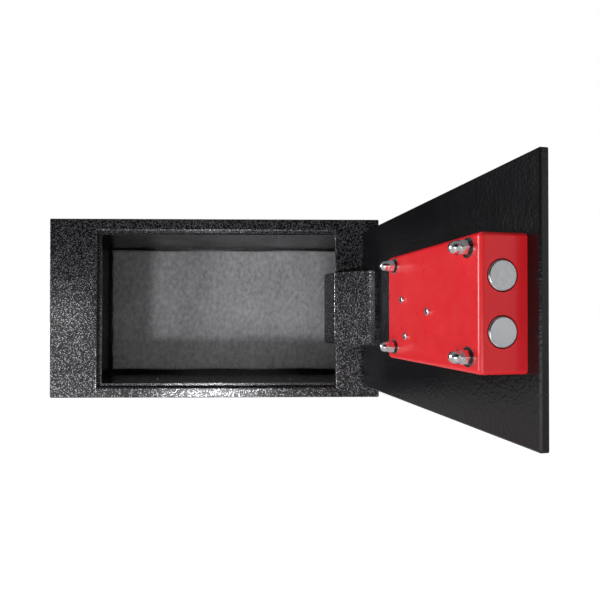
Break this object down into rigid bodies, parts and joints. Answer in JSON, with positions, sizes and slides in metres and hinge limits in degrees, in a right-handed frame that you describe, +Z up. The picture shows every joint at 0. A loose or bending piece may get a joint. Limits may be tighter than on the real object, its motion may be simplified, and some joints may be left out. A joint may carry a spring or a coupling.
{
  "type": "in room safe",
  "caption": "Compact steel room safe with an inset swing door, red lock cover, twin round locking bolts, swan-neck hinge and outside keypad.",
  "frame": {"origin": "centre of the underside of the cabinet", "axes": "+Z up; -Y is the front, where the door mouth is; +X is the hinge side; stored with the door open 98.1 degrees"},
  "size_m": [0.3892, 0.4555, 0.19],
  "materials": {
    "cabinet_coat": "fine textured powder coat, black",
    "door_coat": "fine textured powder coat, black",
    "hinge_coat": "wrinkle powder coat, black",
    "cover_red": "satin red paint",
    "chrome": "bright",
    "black_steel": "black oxide",
    "zinc_steel": "bright zinc plate",
    "felt": "short pile felt",
    "keypad_plastic": "fine moulded grain",
    "fascia_plastic": "satin",
    "key_plastic": "satin",
    "lens": "polished smoked",
    "board": "solder mask",
    "rubber": "matte",
    "cell_wrap": "shrink film",
    "brass": "machined",
    "nylon": "natural"
  },
  "bodies": {
    "cabinet": {"body_shell": "cabinet_coat", "back_plate": "cabinet_coat", "front_frame": "cabinet_coat", "door_stop_lip": "cabinet_coat", "hinge_lugs": "cabinet_coat", "hinge_pin": "zinc_steel", "hinge_clips": "zinc_steel", "hinge_washers": "nylon", "back_liner": "felt"},
    "bolt_works": {"bolt_carriage": "zinc_steel", "upper_bolt": "chrome", "lower_bolt": "chrome", "bolt_screws": "zinc_steel"},
    "pinion": {"drive_pinion": "brass"},
    "key_plug": {"lock_plug": "brass", "lock_cam": "zinc_steel"},
    "keyhole_flap": {"keyhole_cover": "fascia_plastic"},
    "key_0": {"key_0": "key_plastic"},
    "key_1": {"key_1": "key_plastic"},
    "key_2": {"key_2": "key_plastic"},
    "key_3": {"key_3": "key_plastic"},
    "key_4": {"key_4": "key_plastic"},
    "key_5": {"key_5": "key_plastic"},
    "key_6": {"key_6": "key_plastic"},
    "key_7": {"key_7": "key_plastic"},
    "key_8": {"key_8": "key_plastic"},
    "key_9": {"key_9": "key_plastic"},
    "key_clear": {"key_clear": "key_plastic"},
    "key_lock": {"key_lock": "key_plastic"},
    "door": {"battery_cells": "cell_wrap", "battery_cover": "fascia_plastic", "battery_cover_screws": "zinc_steel", "battery_tray": "keypad_plastic", "bolt_guide": "zinc_steel", "cap_nuts": "chrome", "cover_screws": "chrome", "cover_studs": "zinc_steel", "cover_washers": "chrome", "display_lens": "lens", "display_module": "keypad_plastic", "door_plate": "door_coat", "fascia": "fascia_plastic", "flap_pivot": "zinc_steel", "gear_motor": "zinc_steel", "guide_posts": "zinc_steel", "hinge_bracket": "hinge_coat", "housing_screws": "zinc_steel", "key_mat": "rubber", "keypad_board": "board", "keypad_housing": "keypad_plastic", "limit_switch": "keypad_plastic", "lock_cover": "cover_red", "lock_cylinder": "zinc_steel", "lock_nut": "zinc_steel", "motor_plate": "zinc_steel", "spring_washers": "black_steel", "wire_harness": "rubber"}
  },
  "joints": [
    {"name": "door_hinge", "type": "hinge", "parent": "cabinet", "child": "door", "pos_m": [0.145, -0.0885, 0.095], "axis": [0, 0, 1], "range_deg": [-98.1, 10]},
    {"name": "bolt_slide", "type": "slide", "parent": "door", "child": "bolt_works", "axis": [0.1409, -0.99, 0], "range_m": [0, 0.016]},
    {"name": "pinion_spin", "type": "hinge", "parent": "door", "child": "pinion", "pos_m": [0.17314, -0.25782, 0.0848], "axis": [-0.99, -0.1409, 0], "range_deg": [-1, 132]},
    {"name": "key_turn", "type": "hinge", "parent": "door", "child": "key_plug", "pos_m": [0.17714, -0.28594, 0.094], "axis": [0.99, 0.1409, 0], "range_deg": [0, 90]},
    {"name": "flap_swivel", "type": "hinge", "parent": "door", "child": "keyhole_flap", "pos_m": [0.20911, -0.2622, 0.094], "axis": [0.99, 0.1409, 0], "range_deg": [0, 100]},
    {"name": "key_1_press", "type": "slide", "parent": "door", "child": "key_1", "axis": [-0.99, -0.1409, 0], "range_m": [0, 0.001], "stiffness_N_per_m": 300, "springref_m": -0.001},
    {"name": "key_2_press", "type": "slide", "parent": "door", "child": "key_2", "axis": [-0.99, -0.1409, 0], "range_m": [0, 0.001], "stiffness_N_per_m": 300, "springref_m": -0.001},
    {"name": "key_3_press", "type": "slide", "parent": "door", "child": "key_3", "axis": [-0.99, -0.1409, 0], "range_m": [0, 0.001], "stiffness_N_per_m": 300, "springref_m": -0.001},
    {"name": "key_clear_press", "type": "slide", "parent": "door", "child": "key_clear", "axis": [-0.99, -0.1409, 0], "range_m": [0, 0.001], "stiffness_N_per_m": 300, "springref_m": -0.001},
    {"name": "key_4_press", "type": "slide", "parent": "door", "child": "key_4", "axis": [-0.99, -0.1409, 0], "range_m": [0, 0.001], "stiffness_N_per_m": 300, "springref_m": -0.001},
    {"name": "key_5_press", "type": "slide", "parent": "door", "child": "key_5", "axis": [-0.99, -0.1409, 0], "range_m": [0, 0.001], "stiffness_N_per_m": 300, "springref_m": -0.001},
    {"name": "key_6_press", "type": "slide", "parent": "door", "child": "key_6", "axis": [-0.99, -0.1409, 0], "range_m": [0, 0.001], "stiffness_N_per_m": 300, "springref_m": -0.001},
    {"name": "key_0_press", "type": "slide", "parent": "door", "child": "key_0", "axis": [-0.99, -0.1409, 0], "range_m": [0, 0.001], "stiffness_N_per_m": 300, "springref_m": -0.001},
    {"name": "key_7_press", "type": "slide", "parent": "door", "child": "key_7", "axis": [-0.99, -0.1409, 0], "range_m": [0, 0.001], "stiffness_N_per_m": 300, "springref_m": -0.001},
    {"name": "key_8_press", "type": "slide", "parent": "door", "child": "key_8", "axis": [-0.99, -0.1409, 0], "range_m": [0, 0.001], "stiffness_N_per_m": 300, "springref_m": -0.001},
    {"name": "key_9_press", "type": "slide", "parent": "door", "child": "key_9", "axis": [-0.99, -0.1409, 0], "range_m": [0, 0.001], "stiffness_N_per_m": 300, "springref_m": -0.001},
    {"name": "key_lock_press", "type": "slide", "parent": "door", "child": "key_lock", "axis": [-0.99, -0.1409, 0], "range_m": [0, 0.001], "stiffness_N_per_m": 300, "springref_m": -0.001}
  ],
  "couplings": [
    {"joint": "pinion_spin", "follows": "bolt_slide", "rad_per_m": 142.86}
  ]
}
